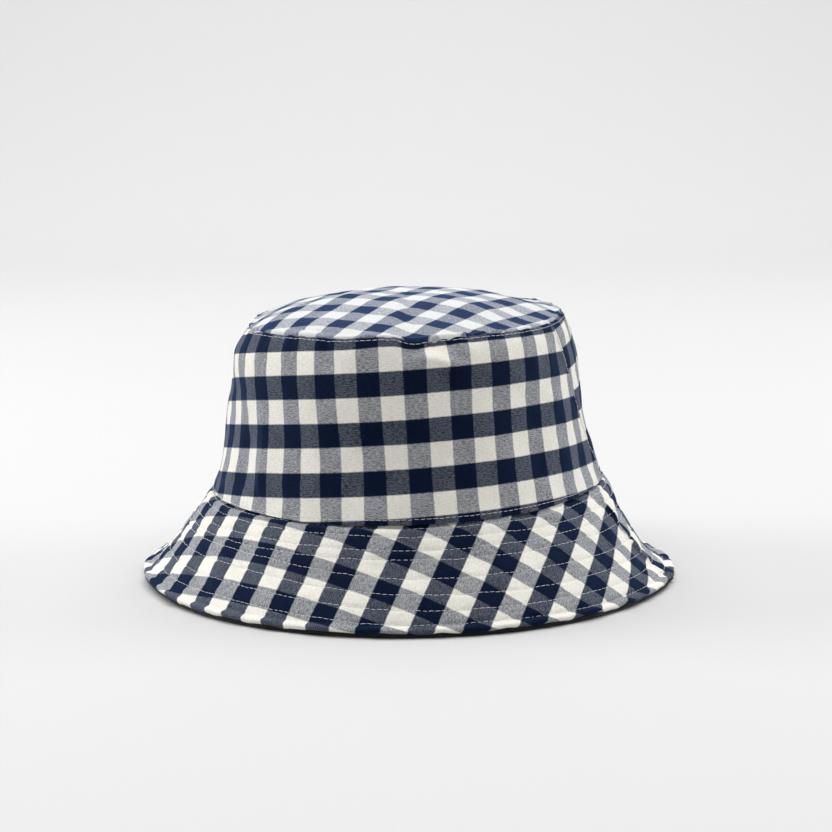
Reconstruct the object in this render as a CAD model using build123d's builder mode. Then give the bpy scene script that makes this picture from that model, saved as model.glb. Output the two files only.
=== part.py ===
"""Bucket hat: a two-panel crown under a domed tip, with a flared, stitched brim.

Every cut piece of cloth is its own solid: three layers (outer, interlining, lining)
of the tip, of the front and back crown panels and of the front and back brim
panels, then the sweatband, its label and each row of thread.

Frame: millimetres, +Z up, front of the hat at -Y, origin on the table under the
middle of the hat. The head oval is longest along Y.
"""

import os

from build123d import *

# ---- driving dimensions -------------------------------------------------------

# Half widths (X) and half lengths (Y) of the outer cloth's rings, and their heights.
BRIM_EDGE_HALF_X = 124.0
BRIM_EDGE_HALF_Y = 131.2
BRIM_MIDDLE_HALF_X = 105.7
BRIM_MIDDLE_HALF_Y = 113.4
BRIM_MIDDLE_HEIGHT = 21.4
CROWN_BASE_HALF_X = 89.7
CROWN_BASE_HALF_Y = 98.0
CROWN_BASE_HEIGHT = 42.8
CROWN_WAIST_HALF_X = 83.2
CROWN_WAIST_HALF_Y = 93.5
CROWN_WAIST_HEIGHT = 66.1
CROWN_SHOULDER_HALF_X = 77.8
CROWN_SHOULDER_HALF_Y = 92.0
CROWN_SHOULDER_HEIGHT = 103.7
TIP_SEAM_HALF_X = 73.1
TIP_SEAM_HALF_Y = 88.3
TIP_SEAM_HEIGHT = 118.0
TIP_DOME_RISE = 12.0

# Side seams: the line through a hoop's two joins, turned from the X axis so that the
# right-hand join lies ahead of the middle and the left-hand join behind it.
SIDE_SEAM_TURN = -22.0
SEAM_GAP = 0.3

# Cloth thicknesses, measured horizontally through the wall.
OUTER_CLOTH = 0.6
INTERLINING = 0.5
LINING = 0.5
LAYER_GAP = 0.1

# Sweatband, joined at the back, and the label that hangs from its join.
SWEATBAND_WIDTH = 27.0
SWEATBAND_THICKNESS = 0.8
SWEATBAND_LIFT = 1.0
SWEATBAND_JOIN_GAP = 1.0
LABEL_WIDTH = 24.0
LABEL_HEIGHT = 14.0
LABEL_THICKNESS = 0.4

# Thread rows.
THREAD = 0.5
THREAD_CLEARANCE = 0.1
BRIM_ROWS = 7
BRIM_ROW_FIRST_HEIGHT = 36.8
BRIM_ROW_LAST_HEIGHT = 5.0
TIP_ROW_DROP = 1.5
BASE_ROW_RISE = 1.9
BRIM_BASE_ROW_DROP = 1.4
SIDE_ROW_OFFSET = 1.5
SWEATBAND_ROW_RISE = 1.5

# Ends: the lining turns out under the brim's edge, and the hat stands on that hem.
HEM_HEIGHT = 0.8
BRIM_TOP_EDGE_HEIGHT = 1.0
RING_GAP = 0.2
DOME_RINGS = 5
DOME_CENTRE_SHARE = 0.12


# ---- rings and shells ---------------------------------------------------------

BRIM_RINGS = [
    (0.0, BRIM_EDGE_HALF_X, BRIM_EDGE_HALF_Y),
    (BRIM_MIDDLE_HEIGHT, BRIM_MIDDLE_HALF_X, BRIM_MIDDLE_HALF_Y),
    (CROWN_BASE_HEIGHT, CROWN_BASE_HALF_X, CROWN_BASE_HALF_Y),
]
CROWN_RINGS = [
    (CROWN_BASE_HEIGHT, CROWN_BASE_HALF_X, CROWN_BASE_HALF_Y),
    (CROWN_WAIST_HEIGHT, CROWN_WAIST_HALF_X, CROWN_WAIST_HALF_Y),
    (CROWN_SHOULDER_HEIGHT, CROWN_SHOULDER_HALF_X, CROWN_SHOULDER_HALF_Y),
    (TIP_SEAM_HEIGHT, TIP_SEAM_HALF_X, TIP_SEAM_HALF_Y),
]


def ring_at(rings, height):
    """The half width and half length of a wall at a height, between its rings."""
    for (low, low_x, low_y), (high, high_x, high_y) in zip(rings, rings[1:]):
        if low <= height <= high:
            share = (height - low) / (high - low)
            return low_x + share * (high_x - low_x), low_y + share * (high_y - low_y)
    raise ValueError(f"no ring at height {height}")


def cut_rings(rings, low, high):
    """The same wall between two heights."""
    inner = [ring for ring in rings if low < ring[0] < high]
    return [(low, *ring_at(rings, low)), *inner, (high, *ring_at(rings, high))]


def stacked(rings, inset):
    """A solid stack through the rings, each drawn in by the inset."""
    with BuildPart() as stack:
        for low, high in zip(rings, rings[1:]):
            for height, half_x, half_y in (low, high):
                with BuildSketch(Plane.XY.offset(height)):
                    Ellipse(half_x - inset, half_y - inset)
            loft(ruled=True)
    return stack.part


def wall(rings, outside, inside):
    """A thin wall between two insets from the outer face of the cloth."""
    with BuildPart() as thin:
        add(stacked(rings, outside))
        add(stacked(rings, inside), mode=Mode.SUBTRACT)
    return thin.part


def dome_rings(drop):
    """Rings of the domed tip, lowered and drawn in by the layers that lie over it."""
    share_step = (1.0 - DOME_CENTRE_SHARE) / (DOME_RINGS - 1)
    rings = []
    for index in range(DOME_RINGS):
        share = 1.0 - index * share_step
        height = TIP_SEAM_HEIGHT + TIP_DOME_RISE * (1.0 - share * share) - drop
        half_x = (TIP_SEAM_HALF_X - drop) * share
        half_y = (TIP_SEAM_HALF_Y - drop) * share
        rings.append((height, half_x, half_y))
    return rings


# ---- pieces -------------------------------------------------------------------


def save(piece, name):
    """Label a finished piece and write it to its own file."""
    piece.label = name
    export_step(piece, f"parts/{name}.step")


def save_halves(hoop, name):
    """The front and back panels of a hoop, cut at its side seams with a gap between."""
    seam = Plane.XZ.rotated((0, 0, SIDE_SEAM_TURN))
    with BuildPart() as front:
        add(hoop)
        split(bisect_by=seam.offset(SEAM_GAP / 2), keep=Keep.TOP)
    save(front.part, f"{name}_front")
    with BuildPart() as back:
        add(hoop)
        split(bisect_by=seam.offset(-SEAM_GAP / 2), keep=Keep.BOTTOM)
    save(back.part, f"{name}_back")


def thread_ring(rings, height, face_inset):
    """One row of thread round a wall, lying just outside the face at that inset."""
    row = cut_rings(rings, height - THREAD / 2, height + THREAD / 2)
    lifted = face_inset - THREAD_CLEARANCE
    return wall(row, lifted - THREAD, lifted)


os.makedirs("parts", exist_ok=True)

# Insets of each layer's two faces from the outer face of the cloth.
outer_inside = OUTER_CLOTH
interlining_outside = outer_inside + LAYER_GAP
interlining_inside = interlining_outside + INTERLINING
lining_outside = interlining_inside + LAYER_GAP
lining_inside = lining_outside + LINING
sweatband_outside = lining_inside + LAYER_GAP
sweatband_inside = sweatband_outside + SWEATBAND_THICKNESS
label_outside = sweatband_inside + LAYER_GAP
label_inside = label_outside + LABEL_THICKNESS

# ---- crown panels and their backing -------------------------------------------

crown_low = CROWN_BASE_HEIGHT + RING_GAP
for layer_name, outside, inside in (
    ("crown_panel", 0.0, outer_inside),
    ("crown_interlining", interlining_outside, interlining_inside),
    ("crown_lining", lining_outside, lining_inside),
):
    layer_high = TIP_SEAM_HEIGHT - RING_GAP - outside
    crown_layer = wall(cut_rings(CROWN_RINGS, crown_low, layer_high), outside, inside)
    save_halves(crown_layer, layer_name)

# ---- brim panels and their backing --------------------------------------------

brim_high = CROWN_BASE_HEIGHT - RING_GAP
raised_rings = cut_rings(BRIM_RINGS, BRIM_TOP_EDGE_HEIGHT, brim_high)
brim_top = wall(raised_rings, 0.0, outer_inside)
save_halves(brim_top, "brim_top")
brim_interlining = wall(raised_rings, interlining_outside, interlining_inside)
save_halves(brim_interlining, "brim_interlining")

with BuildPart() as brim_under:
    add(wall(cut_rings(BRIM_RINGS, 0.0, brim_high), lining_outside, lining_inside))
    add(wall(cut_rings(BRIM_RINGS, 0.0, HEM_HEIGHT), 0.0, lining_inside))
save_halves(brim_under.part, "brim_under")

# ---- domed tip ----------------------------------------------------------------

for layer_name, top_drop, bottom_drop in (
    ("tip_outer", 0.0, outer_inside),
    ("tip_interlining", interlining_outside, interlining_inside),
    ("tip_lining", lining_outside, lining_inside),
):
    with BuildPart() as tip_layer:
        add(stacked(dome_rings(top_drop), 0.0))
        add(stacked(dome_rings(bottom_drop), 0.0), mode=Mode.SUBTRACT)
    save(tip_layer.part, layer_name)

# ---- sweatband and label ------------------------------------------------------

band_low = CROWN_BASE_HEIGHT + SWEATBAND_LIFT
band_high = band_low + SWEATBAND_WIDTH
band_rings = cut_rings(CROWN_RINGS, band_low, band_high)

with BuildPart() as sweatband:
    add(wall(band_rings, sweatband_outside, sweatband_inside))
    with BuildSketch(Plane.XY.offset(band_low)):
        with Locations((0, CROWN_BASE_HALF_Y)):
            Rectangle(SWEATBAND_JOIN_GAP, CROWN_BASE_HALF_Y / 2)
    extrude(amount=SWEATBAND_WIDTH, mode=Mode.SUBTRACT)
save(sweatband.part, "sweatband")

label_high = band_high - THREAD
label_rings = cut_rings(CROWN_RINGS, label_high - LABEL_HEIGHT, label_high)
with BuildPart() as size_label:
    add(wall(label_rings, label_outside, label_inside))
    with BuildSketch(Plane.XY.offset(label_high - LABEL_HEIGHT)):
        with Locations((0, CROWN_BASE_HALF_Y)):
            Rectangle(LABEL_WIDTH, CROWN_BASE_HALF_Y)
    extrude(amount=LABEL_HEIGHT, mode=Mode.INTERSECT)
save(size_label.part, "size_label")

# ---- thread rows --------------------------------------------------------------

brim_row_step = (BRIM_ROW_FIRST_HEIGHT - BRIM_ROW_LAST_HEIGHT) / (BRIM_ROWS - 1)
for row in range(BRIM_ROWS):
    row_height = BRIM_ROW_FIRST_HEIGHT - row * brim_row_step
    save(thread_ring(BRIM_RINGS, row_height, 0.0), f"brim_stitch_row_{row + 1}")

sweatband_thread_inset = sweatband_inside + THREAD + 2 * THREAD_CLEARANCE
base_row_height = CROWN_BASE_HEIGHT - BRIM_BASE_ROW_DROP
for row_name, rings, row_height, face_inset in (
    ("tip_edge_topstitch", CROWN_RINGS, TIP_SEAM_HEIGHT - TIP_ROW_DROP, 0.0),
    ("crown_base_topstitch", CROWN_RINGS, CROWN_BASE_HEIGHT + BASE_ROW_RISE, 0.0),
    ("brim_base_topstitch", BRIM_RINGS, base_row_height, 0.0),
    ("sweatband_stitch", CROWN_RINGS, band_low + SWEATBAND_ROW_RISE, sweatband_thread_inset),
):
    save(thread_ring(rings, row_height, face_inset), row_name)

side_low = CROWN_BASE_HEIGHT + 2 * BASE_ROW_RISE
side_high = TIP_SEAM_HEIGHT - 2 * TIP_ROW_DROP
side_rings = cut_rings(CROWN_RINGS, side_low, side_high)
side_shell = wall(side_rings, -THREAD_CLEARANCE - THREAD, -THREAD_CLEARANCE)
for side_name, side_turn, side_offset in (
    ("right", SIDE_SEAM_TURN, -SIDE_ROW_OFFSET),
    ("left", SIDE_SEAM_TURN + 180.0, SIDE_ROW_OFFSET),
):
    with BuildPart() as side_row:
        add(side_shell)
        with BuildSketch(Plane.XY.offset(side_low).rotated((0, 0, side_turn))):
            with Locations((CROWN_BASE_HALF_Y, side_offset)):
                Rectangle(CROWN_BASE_HALF_Y, THREAD)
        extrude(amount=side_high - side_low, mode=Mode.INTERSECT)
    save(side_row.part, f"side_seam_topstitch_{side_name}")
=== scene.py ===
"""Bucket hat: the looks of every cloth panel, lining, band, label and stitch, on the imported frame.

Shapes are worked out in millimetres from the frame's own boxes and turned to metres
when a mesh is made. An azimuth of 0 faces the front of the hat (-Y), and grows
towards +X. On a wall, a share of 0 is its lower edge and 1 its upper edge.
"""

from math import cos, hypot, pi, prod, radians, sin, sqrt

import bpy
import numpy as np
from mathutils import Matrix, Vector


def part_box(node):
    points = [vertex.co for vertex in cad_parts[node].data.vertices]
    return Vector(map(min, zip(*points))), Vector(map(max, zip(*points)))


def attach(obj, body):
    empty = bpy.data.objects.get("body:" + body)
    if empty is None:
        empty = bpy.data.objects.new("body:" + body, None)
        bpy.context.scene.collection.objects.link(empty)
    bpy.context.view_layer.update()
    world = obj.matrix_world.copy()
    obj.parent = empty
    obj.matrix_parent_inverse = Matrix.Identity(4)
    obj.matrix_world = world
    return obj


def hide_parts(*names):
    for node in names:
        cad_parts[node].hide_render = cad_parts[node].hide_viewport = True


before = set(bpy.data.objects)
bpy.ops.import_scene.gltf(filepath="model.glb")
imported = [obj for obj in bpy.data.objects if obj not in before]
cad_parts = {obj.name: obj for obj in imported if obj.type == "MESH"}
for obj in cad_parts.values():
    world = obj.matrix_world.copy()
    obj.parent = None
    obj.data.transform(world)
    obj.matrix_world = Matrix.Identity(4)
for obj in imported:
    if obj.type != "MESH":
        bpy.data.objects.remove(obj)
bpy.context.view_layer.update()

MM = 0.001


def corners_mm(*nodes):
    """Lowest and highest corner of several CAD nodes together, in millimetres."""
    boxes = [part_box(node) for node in nodes]
    low = np.min([np.array(box[0]) for box in boxes], axis=0) / MM
    high = np.max([np.array(box[1]) for box in boxes], axis=0) / MM
    return low, high


# ---- sizes, from the frame ----

crown_low, crown_high = corners_mm("crown_panel_front", "crown_panel_back")
BASE_HALF = crown_high[:2]
BASE_Z = crown_low[2]
EDGE_HALF = corners_mm("brim_under_front", "brim_under_back")[1][:2]
TIP_HALF = corners_mm("tip_outer")[1][:2]
TIP_SEAM_RISE = 0.9
TIP_Z = crown_high[2] + TIP_SEAM_RISE
WALL_SLANT = hypot(TIP_Z - BASE_Z, (BASE_HALF - TIP_HALF).mean())
BRIM_SLANT = hypot(BASE_Z, (EDGE_HALF - BASE_HALF).mean())

# How the soft hat sits: the oval is turned a little, and the crown leans and tips.
OVAL_TURN = radians(-1.7)
SHOULDER_ROUNDING = 3.4
BASE_SHIFT_X = -0.8
TIP_SHIFT_X = -1.7
BASE_TIP_SLOPE = 0.025
TIP_TIP_SLOPE = 0.021
# The wall isn't quite straight: share, and size beside a straight wall's.
WALL_FULLNESS = ((0.0, 1.0), (0.31, 0.984), (0.6, 1.004), (0.81, 1.021), (0.93, 1.018), (1.0, 1.0))

# Side seams: azimuth of the right-hand one; the left-hand one is half a turn on.
CROWN_SEAM_BASE = radians(80.0)
CROWN_SEAM_TIP = radians(58.0)
BRIM_SEAM_BASE = radians(64.5)
BRIM_SEAM_EDGE = radians(74.0)

# Cloth layers from the outer face inwards, with their thicknesses, and the gap between them.
LAYERS = (("gingham_cloth", 0.6), ("interlining", 0.45), ("dark_lining", 0.45))
LAYER_GAP = 0.12
SWEATBAND_THICKNESS = 0.8

# ---- stitch rows ----

# The brim's rows, from the base row down: height, climb on the left, and bow upwards at the front.
BRIM_ROWS = (
    (39.4, 1.9, 1.0),
    (35.3, 2.5, 1.2),
    (31.2, 1.8, 0.2),
    (27.5, 1.9, 0.0),
    (20.5, 5.9, 0.0),
    (14.2, 6.3, 0.0),
    (8.4, 5.7, 0.0),
    (3.2, 4.6, 0.0),
)
HEM_PINCH_HEIGHT = 3.2
BASE_ROW_RISE = 0.0
TIP_ROW_DROP = 1.1
SIDE_ROW_INSET = 1.4
STITCH_LENGTH = 2.5
STITCH_GAP = 0.18
STITCH_RADIUS = 0.115

# ---- small helpers ----

# A point inside the hat.
INSIDE = np.array([0.0, 0.0, 40.0])


def bell(distance, width):
    """1 at no distance, falling smoothly to nothing past a few widths."""
    return np.exp(-((distance / width) ** 2))


def ease(value):
    """0 below 0, 1 above 1, and smooth between."""
    value = np.clip(value, 0.0, 1.0)
    return value * value * (3.0 - 2.0 * value)


def azimuth_gap(psi, centre):
    """Signed angle from a centre azimuth, the short way round."""
    return (psi - centre + pi) % (2.0 * pi) - pi


def near(psi, degrees, width):
    """A bell round an azimuth given in degrees, with its width in radians."""
    return bell(azimuth_gap(psi, radians(degrees)), width)


def past(psi, degrees, run):
    """0 before an azimuth in degrees, rising to 1 over a run in radians."""
    return ease(azimuth_gap(psi, radians(degrees)) / run)


def upper(share, start):
    """0 below a share, rising smoothly to 1 at the top edge."""
    return ease((share - start) / (1.0 - start))


def beside_edge(distance, reach, run):
    """0 further than a reach from an edge, rising to 1 over a run towards it."""
    return ease((reach - distance) / run)


def through(knots, value):
    """A smooth curve through (place, height) knots."""
    place = np.array([knot[0] for knot in knots])
    height = np.array([knot[1] for knot in knots])
    slope = np.gradient(height, place)
    value = np.clip(value, place[0], place[-1])
    index = np.clip(np.searchsorted(place, value, side="right") - 1, 0, len(place) - 2)
    span = place[index + 1] - place[index]
    t = (value - place[index]) / span
    start = (2 * t**3 - 3 * t**2 + 1) * height[index] + (t**3 - 2 * t**2 + t) * span * slope[index]
    end = (3 * t**2 - 2 * t**3) * height[index + 1] + (t**3 - t**2) * span * slope[index + 1]
    return start + end


def ripples(across, along, wavelength, seed, count=14):
    """Smooth random waves of about one wavelength, about -2 to 2 high."""
    rng = np.random.default_rng(seed)
    total = 0.0
    for _ in range(count):
        turn = rng.uniform(0.0, 2.0 * pi)
        pitch = 2.0 * pi / (wavelength * rng.uniform(0.7, 1.5))
        phase = rng.uniform(0.0, 2.0 * pi)
        total += np.sin(pitch * (across * cos(turn) + along * sin(turn)) + phase)
    return total / sqrt(count / 2.0)


def waves(across, along, height, wavelength, seed):
    """Ripples of one height."""
    return height * ripples(across, along, wavelength, seed)


def oval(half, psi):
    """Radius of an oval with half sizes (x, y) at an azimuth."""
    angle = psi - OVAL_TURN
    return 1.0 / np.sqrt((np.sin(angle) / half[0]) ** 2 + (np.cos(angle) / half[1]) ** 2)


ARC_AZIMUTHS = np.linspace(-2.0 * pi, 2.0 * pi, 2881)
base_radii = oval(BASE_HALF, ARC_AZIMUTHS)
base_ring = np.stack([base_radii * np.sin(ARC_AZIMUTHS), -base_radii * np.cos(ARC_AZIMUTHS)], -1)
base_steps = np.linalg.norm(np.diff(base_ring, axis=0), axis=1)
ARC_LENGTHS = np.concatenate([[0.0], np.cumsum(base_steps)])
ARC_LENGTHS = ARC_LENGTHS - np.interp(0.0, ARC_AZIMUTHS, ARC_LENGTHS)


def base_arc(psi):
    """Length along the base seam from the front of the hat to an azimuth."""
    return np.interp(psi, ARC_AZIMUTHS, ARC_LENGTHS)


def turned(x, y, angle):
    """Flat places measured along axes that are turned by an angle."""
    return cos(angle) * x + sin(angle) * y, -sin(angle) * x + cos(angle) * y


def normals(points):
    """Unit normals of a grid of points, on the side that faces out of the hat."""
    down = np.gradient(points, axis=0)
    along = np.gradient(points, axis=1)
    normal = np.cross(down, along)
    normal = normal / np.maximum(np.linalg.norm(normal, axis=-1, keepdims=True), 1e-9)
    flip = np.sign((normal * (points - INSIDE)).sum())
    return normal * flip


# ---- crown wall ----

# An azimuth in degrees and a width in radians, and the share above which each starts.
LEFT_SHOULDER, LEFT_SHOULDER_START = (-100, 0.8), 0.82
LEFT_CORNER, LEFT_CORNER_START = (-64, 0.32), 0.6
LEFT_CORNER_PUSH = (2.2, 2.6)
# Where the tip seam wanders up and down: height, azimuth and width.
TIP_SEAM_WANDER = (
    (0.55, -32, 0.12),
    (1.0, -5, 0.13),
    (-1.3, 2.5, 0.065),
    (-1.0, 50, 0.42),
    (-1.4, -78, 0.25),
)
TIP_SEAM_WANDER_START = 0.85


def crown_base(psi, share):
    """The smooth crown wall, rounder at the left shoulder and squarer at the left front corner."""
    fullness = through(WALL_FULLNESS, share)
    half = [(BASE_HALF[i] + (TIP_HALF[i] - BASE_HALF[i]) * share) * fullness for i in (0, 1)]
    radius = oval(half, psi)
    shoulder = near(psi, *LEFT_SHOULDER) * upper(share, LEFT_SHOULDER_START)
    corner = near(psi, *LEFT_CORNER) * upper(share, LEFT_CORNER_START)
    x = radius * np.sin(psi) + BASE_SHIFT_X + (TIP_SHIFT_X - BASE_SHIFT_X) * share
    x = x + SHOULDER_ROUNDING * shoulder - LEFT_CORNER_PUSH[0] * corner
    y = -radius * np.cos(psi) - LEFT_CORNER_PUSH[1] * corner
    slope = BASE_TIP_SLOPE + (TIP_TIP_SLOPE - BASE_TIP_SLOPE) * share
    wander = sum(height * near(psi, place, width) for height, place, width in TIP_SEAM_WANDER)
    z = BASE_Z + (TIP_Z - BASE_Z) * share + x * slope + wander * upper(share, TIP_SEAM_WANDER_START)
    return np.stack([x, y, z], -1)


# Waves of the crown's cloth: height, wavelength and seed.
CROWN_SWELL = (0.45, 48.0, 11)
CROWN_RIPPLE = (0.10, 13.0, 12)
CROWN_TOP_PUCKER, CROWN_TOP_PUCKER_REACH = (0.30, 8.0, 13), 4.5
CROWN_BASE_PUCKER, CROWN_BASE_PUCKER_REACH = (0.15, 10.0, 14), 6.0
# The swell dies out over these lengths above the base seam and below the tip seam.
SWELL_MARGINS = (12.0, 10.0)
# Depth and width of the groove that each row pulls.
TIP_ROW_GROOVE = (0.25, 0.7)
BASE_ROW_GROOVE = (0.30, 0.8)
# The top edge turns in at its seam, and the bottom edge stands out over the brim: how far, reach and run.
TOP_TURN_IN, TOP_TURN_REACH = 1.3, (0.7, 0.9)
BASE_COVER, BASE_COVER_REACH = 0.35, (3.0, 4.5)
# Dents under the tip seam at the front: depth, azimuth, width, share and height.
FRONT_DENTS = (
    (1.9, 1, 0.06, 0.925, 0.04),
    (1.6, 9, 0.12, 0.965, 0.035),
)
# The bulge beside them, which slants down to the right.
BULGE_HEIGHT, BULGE_PLACE = 2.4, (9, 0.13)
BULGE_SHARE, BULGE_BAND = 0.875, 0.036
BULGE_SLANT, BULGE_SLANT_CENTRE = 0.30, radians(8)
# An upright fold low on the left: a crest, with the cloth falling away behind it.
FOLD_AZIMUTH, FOLD_LEAN = radians(-44), 0.04
FOLD_TOP, FOLD_BOTTOM = (0.66, 0.35), (-0.05, 0.12)
FOLD_CREST, FOLD_CREST_WIDTH = 1.9, 0.09
FOLD_HOLLOW, FOLD_HOLLOW_BEHIND = (1.7, 0.10), 0.14


def groove(away, depth, width):
    """A groove of one depth and width, by the distance from its middle."""
    return depth * bell(away, width)


def crown_detail(psi, share):
    """How far the crown's cloth stands out from the smooth wall."""
    arc = base_arc(psi)
    rise = share * WALL_SLANT
    from_tip = (1.0 - share) * WALL_SLANT
    margins = ease(rise / SWELL_MARGINS[0]) * ease(from_tip / SWELL_MARGINS[1])
    out = waves(arc, rise, *CROWN_SWELL) * margins + waves(arc, rise, *CROWN_RIPPLE)
    top_share = np.exp(-np.abs(from_tip) / CROWN_TOP_PUCKER_REACH)
    base_share = np.exp(-np.abs(rise) / CROWN_BASE_PUCKER_REACH)
    out += waves(arc, 0.0, *CROWN_TOP_PUCKER) * top_share
    out += waves(arc, 0.0, *CROWN_BASE_PUCKER) * base_share
    out -= groove(from_tip - TIP_ROW_DROP, *TIP_ROW_GROOVE)
    out -= groove(rise - BASE_ROW_RISE, *BASE_ROW_GROOVE)
    out -= TOP_TURN_IN * beside_edge(from_tip, *TOP_TURN_REACH)
    out += BASE_COVER * beside_edge(rise, *BASE_COVER_REACH)
    for depth, place, width, middle, height in FRONT_DENTS:
        out -= depth * near(psi, place, width) * bell(share - middle, height)
    slant = share - BULGE_SHARE + BULGE_SLANT * azimuth_gap(psi, BULGE_SLANT_CENTRE)
    out += BULGE_HEIGHT * near(psi, *BULGE_PLACE) * bell(slant, BULGE_BAND)
    beside = azimuth_gap(psi, FOLD_AZIMUTH) + FOLD_LEAN * share
    low = beside_edge(share, *FOLD_TOP) * beside_edge(-share, *FOLD_BOTTOM)
    crest = FOLD_CREST * np.exp(-np.abs(beside) / FOLD_CREST_WIDTH)
    return out + low * (crest - groove(beside + FOLD_HOLLOW_BEHIND, *FOLD_HOLLOW))


def crown_seam(share):
    """Azimuth of the crown's right-hand side seam."""
    return CROWN_SEAM_BASE + (CROWN_SEAM_TIP - CROWN_SEAM_BASE) * np.clip(share, 0, 1)


# The crown's flat cut: part of a ring of this radius, with the check square to its middle.
CROWN_CUT_RADIUS = 1096.5
CROWN_GRAIN_TURN = 0.0027
WARP_PITCH = 10.01
WEFT_PITCH = 10.618
# Cloth eased in at the tip seam and let out at the base seam: how much, and near what share.
TIP_EASE, TIP_EASE_START = 1.35, 0.84
BASE_EASE, BASE_EASE_REACH = 0.8, (0.14, 0.16)


def crown_cut(psi, share, middle):
    """Place of a crown point on its flat cut, in millimetres across and up."""
    turn = (base_arc(psi) - base_arc(middle)) / CROWN_CUT_RADIUS
    eased = TIP_EASE * upper(share, TIP_EASE_START) - BASE_EASE * beside_edge(share, *BASE_EASE_REACH)
    radius = CROWN_CUT_RADIUS - WALL_SLANT * share - eased
    x = radius * np.sin(turn)
    y = CROWN_CUT_RADIUS - radius * np.cos(turn)
    return turned(x, y, CROWN_GRAIN_TURN)


# ---- brim ----

HEM_RADIUS = 1.9
HEM_LIFT = 2.4
# The edge is drawn in at the right rear, and springs up or down here: how far, azimuth and width.
EDGE_DRAWN_IN, EDGE_DRAWN_PLACE = 4.5, (120, 0.35)
EDGE_SPRING = (
    (1.9, -75, 0.3),
    (1.2, -165, 0.5),
    (-1.3, 118, 0.5),
)


def brim_base(psi, share):
    """The smooth brim: straight from the hem to the base seam, and a little sprung."""
    top = crown_base(psi, 0.0 * psi)
    radius = oval(EDGE_HALF, psi) - EDGE_DRAWN_IN * near(psi, *EDGE_DRAWN_PLACE)
    edge = np.stack([radius * np.sin(psi), -radius * np.cos(psi), 0.0 * psi + HEM_LIFT], -1)
    share = np.asarray(share)[..., None]
    points = edge + (top - edge) * share
    out = 1.0 - np.clip(share[..., 0], 0.0, 1.0)
    for height, place, width in EDGE_SPRING:
        points[..., 2] += height * near(psi, place, width) * out**2
    return points


def brim_seam(share):
    """Azimuth of the brim's right-hand side seam."""
    return BRIM_SEAM_EDGE + (BRIM_SEAM_BASE - BRIM_SEAM_EDGE) * np.clip(share, 0, 1)


# Waves of the brim's cloth, as on the crown, and how much longer the edge is than the base seam.
BRIM_SWELL = (0.28, 30.0, 21)
BRIM_RIPPLE = (0.10, 10.0, 22)
EDGE_LENGTHENING = 0.35
# How deep the brim is dished: all round, and more at each side.
DISH_DEPTH = 0.4
SIDE_DISHES = ((6.0, 97, 0.6), (2.6, -100, 0.6))
DISH_SCALE = 6.75
ROW_GROOVE = (0.42, 0.8)
ROW_PUCKER, ROW_PUCKER_WAVE, ROW_PUCKER_SEED = 0.3, 6.0, 40
# The hem is puffed in front, and flatter round the sides and back.
HEM_CALM, HEM_CALM_START, HEM_CALM_RUN = 0.6, 1.0, 0.5
HEM_PUFF, HEM_PUFF_DROP, HEM_PUFF_WIDTH = 1.15, 2.6, 2.0
HEM_PUCKER = (0.25, 12.0, 23)
HEM_PINCH_GROOVE = (0.45, 1.0)
# The top edge tucks in under the crown, from a lower share at the front than at both ends.
TUCK_DEPTH, TUCK_RUN = 1.9, 0.055
TUCK_START, TUCK_LATER = 0.895, 0.045
TUCK_RIGHT = (40, 0.4)
# The side seams are bulky and puckered, and flatten towards the crown.
SEAM_FLAT_START, SEAM_FLAT_RUN, SEAM_FLATTENING = 0.78, 0.15, 0.8
SEAM_PUCKER = (0.25, 8.0, 24)
SEAM_GAPE, SEAM_GAPE_SHARE, SEAM_GAPE_WIDTH = 1.2, 0.61, 0.13
SEAM_RADIUS = 110.0
SEAM_RIDGE_BEHIND, SEAM_RIDGE_WIDTH = 1.6, 1.6
SEAM_GAP_AHEAD, SEAM_GAP_WIDTH = 1.0, 0.9
RIGHT_SEAM, LEFT_SEAM = (0.0, 1.0, 1.3), (pi, -1.0, 0.35)


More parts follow.
